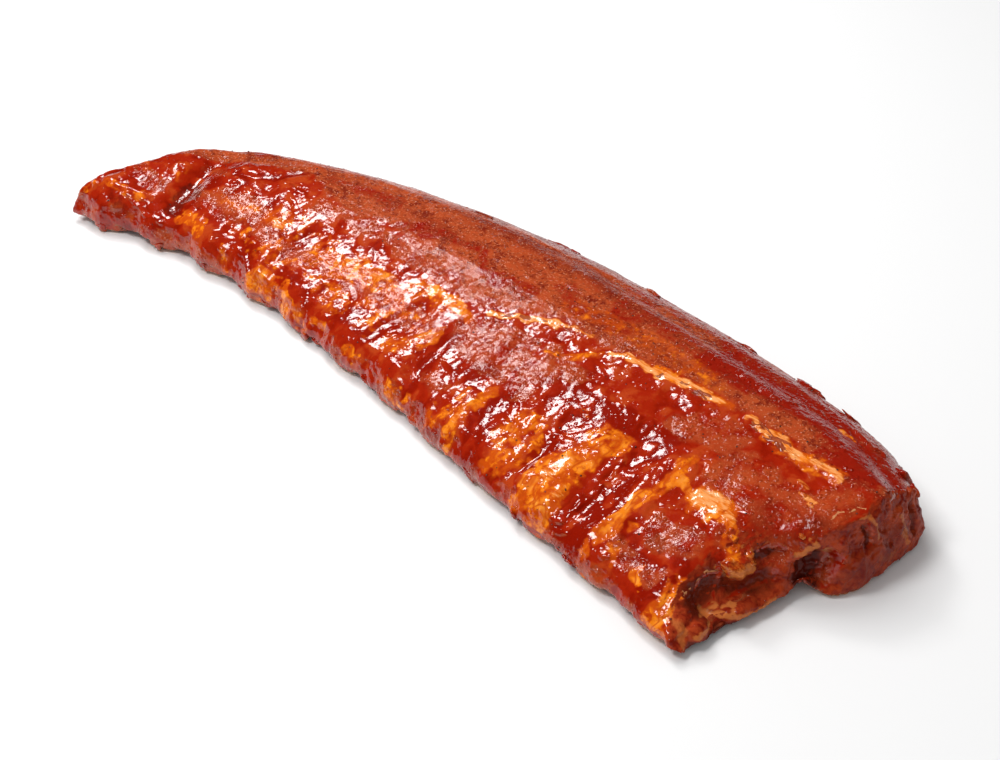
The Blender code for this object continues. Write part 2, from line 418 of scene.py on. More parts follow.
# %% Map of the fine wrinkles
FROST = (
    (0.8, 7, (-104, 4), (-60, 7), (-20, 6), (12, 5)),
    (1.0, 6, (22, -4), (45, -4)),
    (1.0, 8, (24, -18), (34, -24), (46, -22)),
    (0.8, 5, (55, -24), (66, -26)),
    (1.0, 6, (56, -1), (66, -4), (78, -5)),
    (0.8, 6, (-58, -12), (-40, -14), (-28, -14)),
    (0.8, 7, (-150, -16), (-138, -16), (-125, -16)),
    (0.5, 5, (35, 14), (45, 16)),
    (0.4, 4, (50, 33), (90, 34)),
    (0.8, 6, (155, -44), (168, -47)),
    (0.9, 8, (-84, -20), (-64, -20)),
    (0.7, 6, (-8, -24), (4, -26)),
    (0.8, 8, (-205, -30), (-185, -34)),
    (0.7, 9, (-165, -26), (-140, -24)),
    (0.6, 5, (-178, -6), (-165, -8)),
    (1.0, 17, (163, -9), (187, -7)),
    (0.8, 10, (160, -46), (172, -44)),
    (0.8, 7, (150, -60), (170, -62)),
    (0.9, 14, (185, -30), (200, -12), (205, 20)),
    (0.7, 8, (176, 14), (200, 20)),
    (0.8, 12, (130, 0), (150, 4)),
    (0.6, 4, (134, 12), (152, 10)),
    (0.9, 5, (78, 44), (100, 47), (122, 47)),
    (0.7, 4, (128, 55), (150, 52), (170, 50)),
    (0.4, 8, (-60, 30), (0, 34), (50, 30)),
    (0.6, 5, (150, 22), (170, 24)),
    (0.5, 9, (-140, 24), (-100, 28)),
    (0.75, 11, (14, -12), (40, -14), (66, -14)),
    (0.65, 10, (-62, -18), (-30, -20), (0, -22)),
    (0.6, 8, (-130, -22), (-90, -24)),
    (0.6, 8, (20, -40), (28, -44)),
)

# %% Map of the swells and creases, each (height in mm, half width, point, point, ...)
SWELLS = (
    (-0.8, 2.5, (150, -38), (148, -48), (152, -57)),
    (-0.6, 2.0, (152, -37), (161, -34), (173, -36)),
    (0.7, 2.5, (122, -18), (121, -38), (120, -58)),
    (0.5, 2.5, (138, -27), (138, -45), (137, -60)),
    (0.9, 8.0, (105, -45), (107, -50)),
    (0.6, 6.0, (112, -57)),
    (0.6, 6.0, (97, -56)),
    (-1.2, 3.5, (91, -38), (90, -48), (91, -57)),
    (0.5, 1.8, (64, -30), (70, -33), (76, -31), (80, -36)),
    (0.5, 1.8, (66, -40), (72, -42), (78, -38)),
    (-0.9, 5.0, (60, -33), (60, -45), (63, -57)),
    (0.6, 3.0, (46, -38), (50, -48), (49, -57)),
    (-0.8, 3.5, (36, -36), (37, -52)),
    (-0.9, 5.0, (14, -18), (14, -32), (15, -46)),
    (-0.9, 4.0, (-13, -14), (-17, -26), (-21, -38)),
    (-0.8, 3.5, (-92, -8), (-93, -22), (-96, -34)),
    (-0.7, 5.0, (-58, -30), (-60, -42)),
    (-0.7, 4.0, (-128, -26), (-130, -42)),
    (1.0, 3.0, (-218, -57), (-206, -50), (-195, -46), (-184, -42)),
    (-0.9, 3.0, (-160, -5), (-148, -1), (-139, 5), (-135, 15), (-131, 21)),
    (0.5, 2.0, (57, -3), (68, 4), (80, 9)),
    (-0.6, 3.0, (122, 35), (138, 34), (155, 35)),
    (0.4, 1.6, (-101, -44), (-90, -39), (-78, -39), (-66, -43)),
)

# %% Map of the glints, where the glaze leans towards the light
GLINTS = (
    (2.2, (84, -7), (88, -6)),
    (1.6, (99, -9), (101, -8)),
    (1.4, (113, -8.5)),
    (1.7, (118, -7), (118.5, -12)),
    (2.2, (84, -22), (86, -31), (90, -34)),
    (3.4, (91, -28), (99, -23)),
    (1.4, (95, -31), (100, -30)),
    (1.4, (105, -26), (108, -23)),
    (1.1, (122, -28), (124, -35), (123, -45), (122, -55)),
    (2.2, (121, -52), (122, -60)),
    (1.7, (127, -41), (134, -43)),
    (2.2, (132, -25), (134, -27)),
    (2.0, (139, -24), (142, -30)),
    (1.2, (147, -14), (149, -18), (153, -18), (155, -14), (152, -11)),
    (1.4, (154, -19), (165, -21)),
    (1.2, (150, -31), (158, -27), (163, -30)),
    (2.2, (156, -45), (162, -47), (169, -47)),
    (1.6, (147, -65), (152, -62)),
    (1.4, (123, -64), (127, -63)),
    (1.3, (130, -56), (136, -57)),
    (1.4, (183, -57), (187, -67)),
    (1.2, (179, -58), (183, -70)),
    (2.0, (136, 12), (141, 13)),
    (1.5, (140, 36), (146, 34.5), (152, 36), (155, 39)),
    (1.2, (128, 37), (131, 37)),
    (1.4, (184, 25), (187, 27)),
    (1.6, (180, 46), (190, 42), (195, 44)),
    (4.0, (-137, 0), (-130, 2), (-123, 1)),
    (4.0, (-118, 2), (-112, -1), (-106, -5)),
    (1.6, (-158, -30), (-150, -24), (-145, -21)),
    (1.7, (-133, -12), (-128, -14)),
    (1.2, (-87, -17), (-90, -23), (-93, -27)),
    (1.6, (-83, -20), (-75, -13), (-68, -14), (-64, -22), (-72, -27), (-82, -24)),
    (1.6, (-57, -23), (-50, -22), (-44, -26)),
    (2.4, (-38, -20), (-32, -25)),
    (1.1, (-19, -17), (-20, -24), (-17, -30)),
    (1.1, (-14, -18), (-11, -22)),
    (2.2, (-10, -25), (-4, -27), (0, -23)),
    (1.6, (2, -29), (6, -26)),
    (2.3, (19, -26), (20, -28)),
    (1.1, (-118, -25), (-108, -26), (-100, -27)),
    (1.1, (-117, -35), (-110, -37), (-101, -42)),
    (1.1, (-192, -46), (-182, -46), (-174, -47), (-166, -45)),
    (2.2, (-212, -48), (-210, -51)),
    (1.2, (42, -6), (47, -3), (50, -4)),
    (1.3, (48, -40), (46, -44)),
    (1.4, (66, -31), (70, -38)),
)

# %% [markdown]
# ## The cut end
# The wide end was cut through between two ribs. Its face is ragged: lobes of meat, a seam of tendon, a lump of fat
# and a cleft. Its map is drawn on the face itself, as (y, z) in mm.

# %% Map of the cut end, each (height in mm, half width, point, point, ...)
END_SWELLS = (
    (-4.5, 6.5, (-55, 11), (-46, 15)),
    (-3.5, 4.5, (-40, 12), (-29, 12)),
    (1.4, 1.8, (-66, 6), (-55, 7), (-40, 5), (-30, 5)),
    (1.8, 4.5, (-40, 19), (-34, 18)),
    (-2.6, 3.2, (-28, 19), (-22, 20)),
    (2.0, 3.0, (-21, 15), (-15, 20)),
    (-5.0, 6.0, (-14, 9), (-11, 16)),
    (1.2, 1.5, (7, 33), (9, 30), (10, 24)),
    (-2.4, 2.4, (6, 28), (7, 20)),
    (1.6, 6.0, (0, 12), (2, 8)),
    (-1.6, 4.0, (16, 24), (20, 16)),
    (1.4, 2.2, (25, 26), (26, 18), (30, 10)),
    (-2.4, 2.5, (34, 22), (35, 12)),
    (1.6, 4.0, (12, 12), (18, 8)),
    (-1.6, 2.5, (-70, 2), (-50, 2.5), (-26, 1.5)),
)
END_AMBER = (
    (0.7, 1.6, (-67, 6), (-55, 7), (-40, 5), (-29, 6)),
    (0.8, 3.5, (-41, 19), (-34, 18)),
    (0.6, 2.0, (-35, 24), (-30, 23)),
    (0.7, 2.0, (-18, 21), (-12, 24), (-14, 28)),
    (0.6, 1.4, (4, 34), (8, 33), (10, 28), (11, 22)),
    (0.5, 1.8, (25, 26), (26, 18), (31, 8)),
    (0.3, 3.0, (12, 12), (20, 8)),
    (0.5, 3.0, (-72, 4), (-70, 10)),
)
# Painted shade: dark colour laid into the hollows and the cleft of the cut face, where shade falls.
END_HOLLOW_SHADE_MAP = (
    (0.8, 8.0, (-57, 12), (-46, 15)),
    (0.7, 6.0, (-40, 12), (-29, 12)),
    (0.9, 3.4, (-28, 20), (-21, 21)),
    (1.0, 8.0, (-15, 8), (-11, 17)),
    (0.8, 3.5, (-68, 2), (-50, 2), (-24, 1)),
    (0.45, 14, (0, 14), (8, 18), (22, 14)),
    (0.8, 2.6, (6, 27), (7, 20)),
    (0.7, 3.0, (34, 24), (35, 10)),
)

# %% [markdown]
# ## Painting the maps on a piece
# Each map becomes an attribute, which is one number at each vertex that materials can read.

# %% Painting
SEAM = ((-230, -34), (-205, -22), (-185, -2), (-160, 6), (-132, 17), (-100, 8), (-60, 8), (-20, 4), (20, 3),
        (48, 12), (95, 15), (134, 19), (160, 17), (197, 14), (230, 12))


def beyond_seam(at):
    """How far (mm) a place lies on the loin's side of the seam between the loin and the ribs."""
    seam = np.array(SEAM, float)
    return at[:, 1] - np.interp(at[:, 0], seam[:, 0], seam[:, 1])


CUT_FACE = ((-76, 190), (-70, 186), (-64, 183.4), (-52, 188.4), (-40, 192.6), (-28, 197.3), (-22, 200),
            (-16, 204.7), (-10, 211), (-4, 215.4), (8, 219), (38, 219), (44, 216.3), (50, 208.6))  # y and x


def cut_share(at, normal):
    """1 on the face of the cut end, 0 elsewhere."""
    face = np.array(CUT_FACE)
    past_it = at[:, 0] - np.interp(at[:, 1], face[:, 0], face[:, 1])
    facing_out = step(normal[:, 0], 0.4, 0.65) * step(at[:, 0], 174, 182)
    return np.maximum(facing_out, step(past_it, -0.5, 1.5))


def medium_lumps(at):
    """Lumps of 4 to 8 mm. The glaze runs off their tops and gathers in the hollows between them."""
    warped = at + 2.5 * np.stack([layered(at, 8.0, 91), layered(at, 8.0, 92), layered(at, 8.0, 93)], axis=1)
    return layered(warped, (6.0, 7.5, 6.0), 95, 3)


RIB_PITCH = 34.5
FIRST_RIB = 144.5
RIB_LEAN = 0.15


def rib_wave(at):
    """1 over each rib and -1 between two ribs."""
    lean = RIB_LEAN * (1 - step(at[:, 0], -120, 20))
    return np.cos(2 * math.pi * (at[:, 0] + lean * (at[:, 1] + 40) - FIRST_RIB) / RIB_PITCH)


def masks_of(at, normal):
    """The maps at each place, as {name: numbers from 0 to 1}."""
    upper = step(normal[:, 2], -0.25, 0.25)
    cut = cut_share(at, normal)
    top = upper * (1 - cut)
    breaks = layered(at, 3.2, 11)
    on_face = np.stack([at[:, 1] + 1.3 * layered(at, 5.0, 71), at[:, 2] + 1.3 * layered(at, 5.0, 72)], axis=1)
    fat = 0.85 * painted(pushed_about(at, 1.4, 5.0, 5), FAT) * top
    pool = painted(pushed_about(at, 2.6, 9.0, 9), POOLS) * top
    pool = pool * (0.9 - 0.65 * step(layered(at, (7, 9, 7), 19), 0.0, 0.45))
    amber = painted(pushed_about(at, 2.6, 8.0, 3), AMBER) * top
    amber = np.clip(amber * (1.0 + 0.7 * breaks) - 0.8 * pool, 0, 1)
    amber = np.maximum(amber, painted(on_face, END_AMBER) * cut)
    # Painted shade: dark colour in the folds, valleys and cut-face hollows, where shade falls.
    painted_shade = painted(pushed_about(at, 2.6, 8.0, 3), FOLD_SHADE_MAP) * (1 - cut)
    painted_shade = np.maximum(painted_shade, painted(on_face, END_HOLLOW_SHADE_MAP) * cut)
    frost = painted(pushed_about(at, 3.0, 9.0, 13), FROST) * top
    side = step(0.8 - np.abs(normal[:, 2]), 0, 0.4) * (1 - cut) * step(-beyond_seam(at), 0, 5)
    frost = np.maximum(frost, 0.8 * side * step(layered(at, 8.0, 15), -0.5, 0.3))
    loin = step(beyond_seam(at) + 5 * layered(at, 14.0, 21), -5, 8) * upper
    under = step(-normal[:, 2], 0.2, 0.7)
    film = painted(pushed_about(at, 6.0, 16.0, 17), FILM) * step(normal[:, 2], -0.6, 0)
    bone = step(rib_wave(at), -0.1, 0.7) * under * (1 - step(beyond_seam(at), -6, 4))
    thick = np.clip(0.5 - 0.55 * medium_lumps(at) + 0.4 * pool, 0, 1)
    return {"fat": fat, "amber": amber, "pool": pool, "painted_shade": painted_shade, "frost": frost, "loin": loin,
            "cut": cut, "under": under, "thick": thick, "film": film, "bone": bone}


def paint(piece):
    at = places(piece)
    masks = masks_of(at, facing(piece))
    for name, values in masks.items():
        if name in piece.data.attributes:
            piece.data.attributes.remove(piece.data.attributes[name])
        layer = piece.data.attributes.new(name, "FLOAT", "POINT")
        layer.data.foreach_set("value", values.astype(np.float32))
    return masks


# %% The relief of the meat
def swell(at, strokes):
    """The summed heights (mm) of strokes of (height, half width, point, point, ...)."""
    return sum(height * soft_stroke(at, points, 1.5 * half_width) for height, half_width, *points in strokes)


def broad_relief(at, normal, masks):
    """Lumps of muscle, 3 mm and larger, as a height in mm."""
    rib_side = 1 - masks["loin"]
    lumps = 0.25 * layered(at, (13, 18, 13), 31, 2) * (0.6 + 0.4 * rib_side)
    folds = 0.15 * ridges(at + 3 * layered(at, 9.0, 33)[:, None], (13, 18, 13), 35) * rib_side
    fading = step(layered(at, (24, 13, 24), 37), -0.3, 0.35)
    folds = folds - 0.9 * fading * rib_wave(at) * rib_side * (1 - masks["cut"])
    placed = swell(pushed_about(at, 2.2, 9.0, 41), SWELLS) * (1 - masks["cut"]) * (1 - masks["under"])
    on_face = np.stack([at[:, 1] + layered(at, 6.0, 73), at[:, 2] + layered(at, 6.0, 74)], axis=1)
    ragged = 0.5 * layered(at, 7.0, 75, 3) + swell(on_face, END_SWELLS)
    height = (lumps + folds) * (1 - 0.4 * masks["pool"]) * (1 - 0.5 * masks["under"])
    side = step(0.75 - np.abs(normal[:, 2]), 0, 0.4) * (1 - masks["cut"])
    drapes = 0.8 * layered(at, (5.5, 14, 14), 45, 2) - 0.3
    bones = (1.2 * masks["bone"] - 0.6) * masks["under"]
    return height + placed + ragged * masks["cut"] + 0.4 * masks["fat"] + drapes * side + bones


def raise_surface(piece, height, room=0.0):
    """Moves each vertex out by its height (mm), and keeps it `room` mm inside the solid's box, but down to the table."""
    at = places(piece) + facing(piece) * height[:, None]
    low = LOW + (room, room, 0)
    move_to(piece, np.clip(at, low, HIGH - room))


masks = masks_of(places(skin), facing(skin))
raise_surface(skin, broad_relief(places(skin), facing(skin), masks), room=0.6)
masks = paint(skin)
print("painted", ", ".join(masks))

# %% [markdown]
# ## The glazed surface
# What shows close up is finer than the skin's net, so it is carried by three coats: the same skin, four times as
# dense, lifted a third of a millimetre, with the rim tucked into the meat. Two cover the ribs, one at each end, and
# the third covers the top of the loin. They overlap a little where they meet.

# %% Where the coats lie
COAT_LIFT = 0.35


def rib_share(at, normal):
    """1 where the coat over the ribs and the cut end lies, 0 where there is none, and between over its rim."""
    inside = step(-beyond_seam(at), -7, -3)
    cut = step(normal[:, 0], 0.35, 0.6) * step(at[:, 0], 150, 170)
    inside = np.maximum(inside, cut)
    return inside * step(normal[:, 2], -0.55, -0.25) * step(at[:, 2], 0.8, 2.5)


def loin_share(at, normal):
    """The same for the coat over the top of the loin."""
    inside = step(beyond_seam(at), -2.5, 1.5) * step(normal[:, 2], 0.3, 0.55)
    return inside * (1 - step(at[:, 0], 195, 203))


def loose_parts(mesh):
    """The faces of each separate part of a bmesh."""
    left, parts = set(mesh.faces), []
    while left:
        part = [left.pop()]
        for face in part:  # the list grows as it is walked
            others = {other for edge in face.edges for other in edge.link_faces} & left
            left -= others
            part.extend(others)
        parts.append(part)
    return parts


def cut_out(piece, name, share):
    """A new piece from the faces whose every corner has some share, without the crumbs of a few faces."""
    new = piece.copy()
    new.data = piece.data.copy()
    new.name = name
    bpy.context.scene.collection.objects.link(new)
    mesh = bmesh.new()
    mesh.from_mesh(new.data)
    mesh.verts.ensure_lookup_table()
    gone = [v for v in mesh.verts if share[v.index] <= 0]
    bmesh.ops.delete(mesh, geom=gone, context="VERTS")
    crumbs = sorted(loose_parts(mesh), key=len)[:-1]
    bmesh.ops.delete(mesh, geom=[face for part in crumbs for face in part], context="FACES")
    bmesh.ops.delete(mesh, geom=[v for v in mesh.verts if not v.link_faces], context="VERTS")
    mesh.to_mesh(new.data)
    mesh.free()
    return new


LEAN_MOST = 0.9  # mm


def leaning(at, normal):
    """The height (mm) that leans the surface, inside each glint, towards its mirror facing."""
    wanted = mirror_facing(at)
    slope = wanted[:, :2] / -wanted[:, 2:] - normal[:, :2] / -np.maximum(normal[:, 2:], 0.2)
    flat = pushed_about(at, 0.7, 5.0, 81)
    height = np.zeros(len(at))
    for half_width, *points in GLINTS:
        share = stroke(flat, points, max(1.5 * half_width, 2.0))
        across = ((flat - nearest_on_line(flat, points)) * slope).sum(axis=1)
        height = height + share * across
    return LEAN_MOST * np.tanh(height / LEAN_MOST)


def fine_relief(at, normal, masks):
    """What shows on wet meat up close: lumps, wrinkled membrane and beads of spice, from 1 to 6 mm."""
    calm = 1 - 0.65 * masks["pool"]
    warped = at + 1.8 * np.stack([layered(at, 5.0, 51), layered(at, 5.0, 52), layered(at, 5.0, 53)], axis=1)
    wrinkles = 0.13 * ridges(warped, (2.4, 3.4, 3.0), 57) + 0.06 * ridges(warped, (1.8, 2.4, 2.0), 58)
    lumps = 0.22 * medium_lumps(at) * (1 - 0.6 * masks["loin"]) * (1 - 0.35 * masks["frost"])
    spice = 0.24 * beads(at, 2.4, 0.5, 201) * (0.3 + 0.7 * step(layered(at, 9.0, 69), -0.3, 0.3))
    furrows = 0.2 * layered(at * (0.16, 1, 1), 4.5, 213, 2) + 0.08 * layered(at * (0.5, 1, 1), 1.9, 211, 2)
    pores = furrows * masks["loin"]
    drops = 0.2 * ridges(warped, (3.0, 2.6, 3.0), 64) * np.clip(2 * masks["film"] - 0.6, 0, 1) * masks["loin"]
    rough = 0.25 + masks["frost"] * (0.5 + 0.8 * masks["loin"])
    grit = 0.16 * layered(at, 2.2, 61, 2) * masks["frost"] * (1 - masks["loin"])
    ripples = 0.14 * layered(at, 4.5, 63, 2) * masks["pool"]
    height = (lumps + spice) * calm + wrinkles * rough * calm + pores + grit + ripples + drops
    side = step(0.8 - np.abs(normal[:, 2]), 0, 0.4) * (1 - masks["cut"])
    height = height + 0.3 * layered(at, (2.6, 4.0, 4.0), 65, 2) * side
    height = height + (0.55 * layered(at, 3.2, 67, 3) + 0.5 * ridges(at, 5.0, 68)) * masks["cut"]
    return height + leaning(at, normal) * (1 - masks["cut"])


def thin_end_share(at, normal):
    """The thin end's half of the coat over the ribs."""
    return rib_share(at, normal) * (1 - step(at[:, 0], 1, 4))


def wide_end_share(at, normal):
    return rib_share(at, normal) * step(at[:, 0], -4, -1)


def build_coat(name, share_of, lift):
    coat = cut_out(skin, name, share_of(places(skin), facing(skin)))
    apply_modifier(coat, "SUBSURF", levels=1, render_levels=1)
    at, normal = places(coat), facing(coat)
    share = share_of(at, normal)
    masks = masks_of(at, normal)
    rise = lift * (2.2 * share - 1.2)
    raise_surface(coat, fine_relief(at, normal, masks) * share + rise)
    paint(coat)
    print(name, "has", triangles(coat), "triangles")
    return coat


coats = [
    build_coat("wide_end_glaze", wide_end_share, COAT_LIFT),
    build_coat("thin_end_glaze", thin_end_share, COAT_LIFT - 0.03),
    build_coat("loin_glaze", loin_share, COAT_LIFT - 0.06),
]

# %% [markdown]
# ## Strands and scraps
# A seam of fat is a bundle of flat strands, and so are the tendon and the torn lips of the cut end. Each strand is a
# tube drawn along a few points, pressed flat against the meat and sunk into it until only its top stands out. Scraps
# are balls pulled out of shape by noise: the lump of fat, torn bits along the edges, and crumbs. They are made point
# by point, since each follows the meat under it.

# %% Tools for strands and scraps
def on_meat(places_in_mm):
    """The nearest places on the meat under its coat, and the directions in which it faces there."""
    found, facings = [], []
    for place in places_in_mm:
        _, near, normal, _ = skin.closest_point_on_mesh(Vector(place) * MM)
        found.append(np.array(near) / MM + COAT_LIFT * np.array(normal))
        facings.append(np.array(normal))
    return np.array(found), np.array(facings)


def smooth_path(points, spacing=0.8):
    """Evenly spaced places along a smooth curve through these points."""
    points = np.array(points, float)
    length = np.concatenate([[0], np.cumsum(np.linalg.norm(np.diff(points, axis=0), axis=1))])
    marks = np.linspace(0, length[-1], max(6, int(length[-1] / spacing)))
    path = np.stack([np.interp(marks, length, points[:, i]) for i in range(3)], axis=1)
    for _ in range(4):
        path[1:-1] = (path[:-2] + 2 * path[1:-1] + path[2:]) / 4
    return path


def unit(vectors):
    return vectors / np.maximum(np.linalg.norm(vectors, axis=1, keepdims=True), 1e-9)


SUNK = 0.9


def strand(points, radius, flat, seed, sides=10):
    """The corners and faces of one strand."""
    path, up = on_meat(smooth_path(points))
    path = path - up * SUNK * flat * radius
    for _ in range(3):
        up[1:-1] = (up[:-2] + 2 * up[1:-1] + up[2:]) / 4
    along = unit(np.gradient(path, axis=0))
    side = unit(np.cross(along, up))
    up = np.cross(side, along)
    share = np.linspace(0, 1, len(path))
    taper = np.sin(math.pi * np.clip(share, 0.02, 0.98)) ** 0.4
    wander = 0.5 * radius * layered(path, 5.0, seed, 2)
    turn = np.linspace(0, 2 * math.pi, sides, endpoint=False)
    rings = []
    for angle in turn:
        out = radius * taper * (1 + 0.35 * layered(path + 9 * math.cos(angle), 2.6, seed + 5, 2))
        level = side * (out * math.cos(angle) + wander)[:, None]
        rings.append(path + level + up * (flat * out * math.sin(angle))[:, None])
    corners = np.stack(rings, axis=1).reshape(-1, 3)
    faces = []
    for i in range(len(path) - 1):
        for j in range(sides):
            k = (j + 1) % sides
            faces.append((i * sides + j, i * sides + k, (i + 1) * sides + k, (i + 1) * sides + j))
    faces.append(tuple(range(sides))[::-1])
    last = (len(path) - 1) * sides
    faces.append(tuple(range(last, last + sides)))
    return corners, faces


def ball(subdivisions):
    """The corners and faces of a ball of radius 1."""
    mesh = bmesh.new()
    bmesh.ops.create_icosphere(mesh, subdivisions=subdivisions, radius=1)
    corners = np.array([v.co[:] for v in mesh.verts])
    faces = [tuple(v.index for v in face.verts) for face in mesh.faces]
    mesh.free()
    return corners, faces


BALL = ball(3)
SMALL_BALL = ball(1)


def scrap(place, size, seed, shape=BALL, rough=0.4):
    """The corners and faces of one scrap: size is its half length, width and height in mm."""
    (centre,), (up,) = on_meat([place])
    along = np.cross(up, (0.0, 1.0, 0.3))
    along /= np.linalg.norm(along)
    side = np.cross(up, along)
    twist = 0.6 * scattered(np.array([seed, 3, 5]), 1)
    along, side = along * math.cos(twist) + side * math.sin(twist), side * math.cos(twist) - along * math.sin(twist)
    corners, faces = shape
    out = 1 + rough * layered(corners * 2 + seed, 1.3, seed, 2)
    local = corners * out[:, None] * np.array(size)
    centre = centre - 0.3 * size[2] * up
    return centre + local[:, :1] * along + local[:, 1:2] * side + local[:, 2:] * up, faces


def joined(name, shapes):
    """One piece from several lists of corners and faces."""
    corners, faces, start = [], [], 0
    for some_corners, some_faces in shapes:
        corners.append(some_corners)
        faces.extend(tuple(i + start for i in face) for face in some_faces)
        start += len(some_corners)
    at = np.concatenate(corners)
    at = np.clip(at, LOW + 0.02, HIGH - 0.02)
    mesh = bpy.data.meshes.new(name)
    mesh.from_pydata((at * MM).tolist(), [], faces)
    mesh.update()
    piece = bpy.data.objects.new(name, mesh)
    bpy.context.scene.collection.objects.link(piece)
    paint(piece)
    print(name, "has", triangles(piece), "triangles")
    return piece


def set_mask(piece, name, value):
    layer = piece.data.attributes[name]
    layer.data.foreach_set("value", np.full(len(piece.data.vertices), value, np.float32))


# %% Fat
TOP = 32  # mm, above the meat: the nearest place on it is its top
SEAM_STRANDS = (
    (0.8, (20, 2, TOP), (26, 4, TOP), (33, 7, TOP), (41, 10, TOP), (48, 12, TOP)),
    (0.5, (49, 13, TOP), (57, 13.5, TOP), (66, 14, TOP)),
    (0.7, (92, 13, TOP), (105, 16, TOP), (115, 17, TOP), (125, 18, TOP), (135, 18.5, TOP)),
    (0.5, (147, 18.5, TOP), (154, 18, TOP), (161, 16, TOP)),
    (0.8, (159, 16, TOP), (167, 16.5, TOP), (172, 14, TOP), (179, 13, TOP)),
    (0.5, (177, 13, TOP), (184, 14.5, TOP), (192, 15, TOP), (198, 13, TOP)),
)
END_STRANDS = (
    (1.4, (193, -67, 6), (194, -55, 7), (200, -40, 5), (202, -30, 5)),
    (1.2, (207, 5, 34), (210, 7, 34), (213, 8.5, 33), (217, 10.6, 27), (219, 11.6, 19)),
    (1.3, (198, -21, 24), (203, -16, 22.5), (206, -12, 27)),
)
FAT_LUMPS = (
    ((189, -38, 19), (4.6, 3.8, 2.6)),
    ((190, -33, 20), (3.0, 2.6, 2.0)),
    ((184, -33, 26), (2.2, 1.6, 1.2)),
    ((191, -1, TOP), (2.2, 1.1, 0.6)),
    ((197, -4, TOP), (1.4, 1.0, 0.5)),
    ((104, -7, TOP), (0.9, 0.8, 0.5)),
    ((62, 43, TOP), (0.8, 0.7, 0.4)),
    ((178, 42, TOP), (1.0, 0.8, 0.4)),
    ((20, 20, TOP), (0.8, 0.7, 0.4)),
    ((-112, -15, TOP), (1.6, 1.2, 0.7)),
    ((201, -13, 26), (1.6, 1.2, 0.8)),
)


def build_fat():
    shapes = []
    for seed, (radius, *points) in enumerate(SEAM_STRANDS):
        for shift in (-1.1, 0.0, 1.0):
            moved = np.array(points, float) + (1.5 * shift, shift, 0)
            shapes.append(strand(moved, 1.1 * radius, 0.35, 300 + 7 * seed + int(shift)))
    for seed, (radius, *points) in enumerate(END_STRANDS):
        shapes.append(strand(points, radius, 0.7, 340 + seed))
    for seed, (place, size) in enumerate(FAT_LUMPS):
        shapes.append(scrap(place, size, 360 + seed))
    piece = joined("fat_strands", shapes)
    set_mask(piece, "fat", 0.48)
    set_mask(piece, "loin", 0.0)
    return piece


fat_piece = build_fat()

# %% Torn meat
LIPS = (
    (2.0, (182, -64, 12), (185, -56, 16), (187, -48, 18), (189, -42, 19)),
    (1.9, (191, -32, 21), (196, -25, 22), (201, -18, 22)),
    (1.5, (205, -8, 30), (208, 0, 33), (211, 8, 34)),
    (1.4, (212, 13, 34), (214, 24, 31), (215, 33, 28)),
    (1.2, (218, 24, 22), (219, 29, 13), (220, 33, 5)),
    (1.3, (192, -46, 12), (195, -41, 11), (198, -35, 9)),
)
SCRAPS = (
    ((-43, 54, 30), (5.0, 1.6, 0.9)),
    ((-5, 68, 24), (6.0, 2.0, 1.3)),
    ((3, 69, 24), (4.0, 1.6, 1.0)),
    ((52, 68, 25), (6.0, 2.0, 1.0)),
    ((109, 67, 25), (5.0, 2.0, 1.0)),
    ((143, 63, 25), (6.0, 2.6, 1.8)),
    ((150, 62, 24), (4.0, 2.2, 1.4)),
    ((170, 60, 23), (6.0, 2.4, 1.1)),
    ((206, 45, 24), (5.0, 3.0, 2.2)),
    ((213, 41, 23), (3.6, 3.0, 2.6)),
    ((216, 38, 27), (2.6, 2.2, 1.8)),
    ((-107, -43, 3), (3.0, 1.8, 1.0)),
    ((-88, -42, 3), (4.0, 2.0, 1.2)),
    ((-57, -46, 3), (4.0, 2.2, 1.4)),
    ((-50, -46, 2), (3.0, 1.8, 1.4)),
    ((-10, -49, 4), (4.0, 2.0, 1.2)),
    ((28, -55, 5), (4.0, 2.0, 1.0)),
    ((67, -60, 4), (5.0, 2.0, 1.2)),
    ((99, -65, 5), (4.0, 2.0, 1.0)),
    ((134, -68, 5), (4.0, 2.0, 1.0)),
    ((-166, -48, 3), (3.0, 2.0, 1.2)),
    ((-200, -58, 3), (4.0, 2.0, 1.2)),
    ((-134, -44, 4), (3.0, 1.8, 1.0)),
    ((198, -27, 1), (3.0, 2.0, 1.2)),
    ((215, -4, 17), (1.6, 1.2, 1.0)),
)


def build_scraps():
    shapes = [strand(points, radius, 0.8, 400 + i) for i, (radius, *points) in enumerate(LIPS)]
    shapes += [scrap(place, size, 420 + i) for i, (place, size) in enumerate(SCRAPS)]
    return joined("torn_scraps", shapes)


scrap_piece = build_scraps()

# %% Grains of spice
GRAIN_COUNT = 420


def build_grains():
    """Small dark grains of spice, stuck to the upper surface at random."""
    at, normal = places(skin), facing(skin)
    random = np.random.RandomState(4)
    upper = np.flatnonzero(normal[:, 2] > 0.1)
    shapes = []
    for seed, vertex in enumerate(random.choice(upper, GRAIN_COUNT, replace=False)):
        width = random.uniform(0.22, 0.5)
        size = (width * random.uniform(1.0, 1.5), width, width * 0.7)
        shapes.append(scrap(at[vertex], size, 500 + seed, SMALL_BALL, 0.3))
    return joined("spice_grains", shapes)


grain_piece = build_grains()

# %% [markdown]
# ## Materials
# Colours are written as sRGB hex values, as a painter would pick them, and one function turns them to linear light.

# %% Colour and node helpers
def linear(hex_code):
    channels = [int(hex_code[i:i + 2], 16) / 255 for i in (1, 3, 5)]
    turned = [c / 12.92 if c <= 0.04045 else ((c + 0.055) / 1.055) ** 2.4 for c in channels]
    return (*turned, 1.0)


def add_node(tree, kind, inputs=None, **settings):
    """Adds a node. inputs holds a value, or another node's output to link, for each socket by name or number."""
    node = tree.nodes.new(kind)
    for name, value in settings.items():
        setattr(node, name, value)
    for name, value in (inputs or {}).items():
        if isinstance(value, bpy.types.NodeSocket):
            tree.links.new(value, node.inputs[name])
        else:
            node.inputs[name].default_value = value
    return node


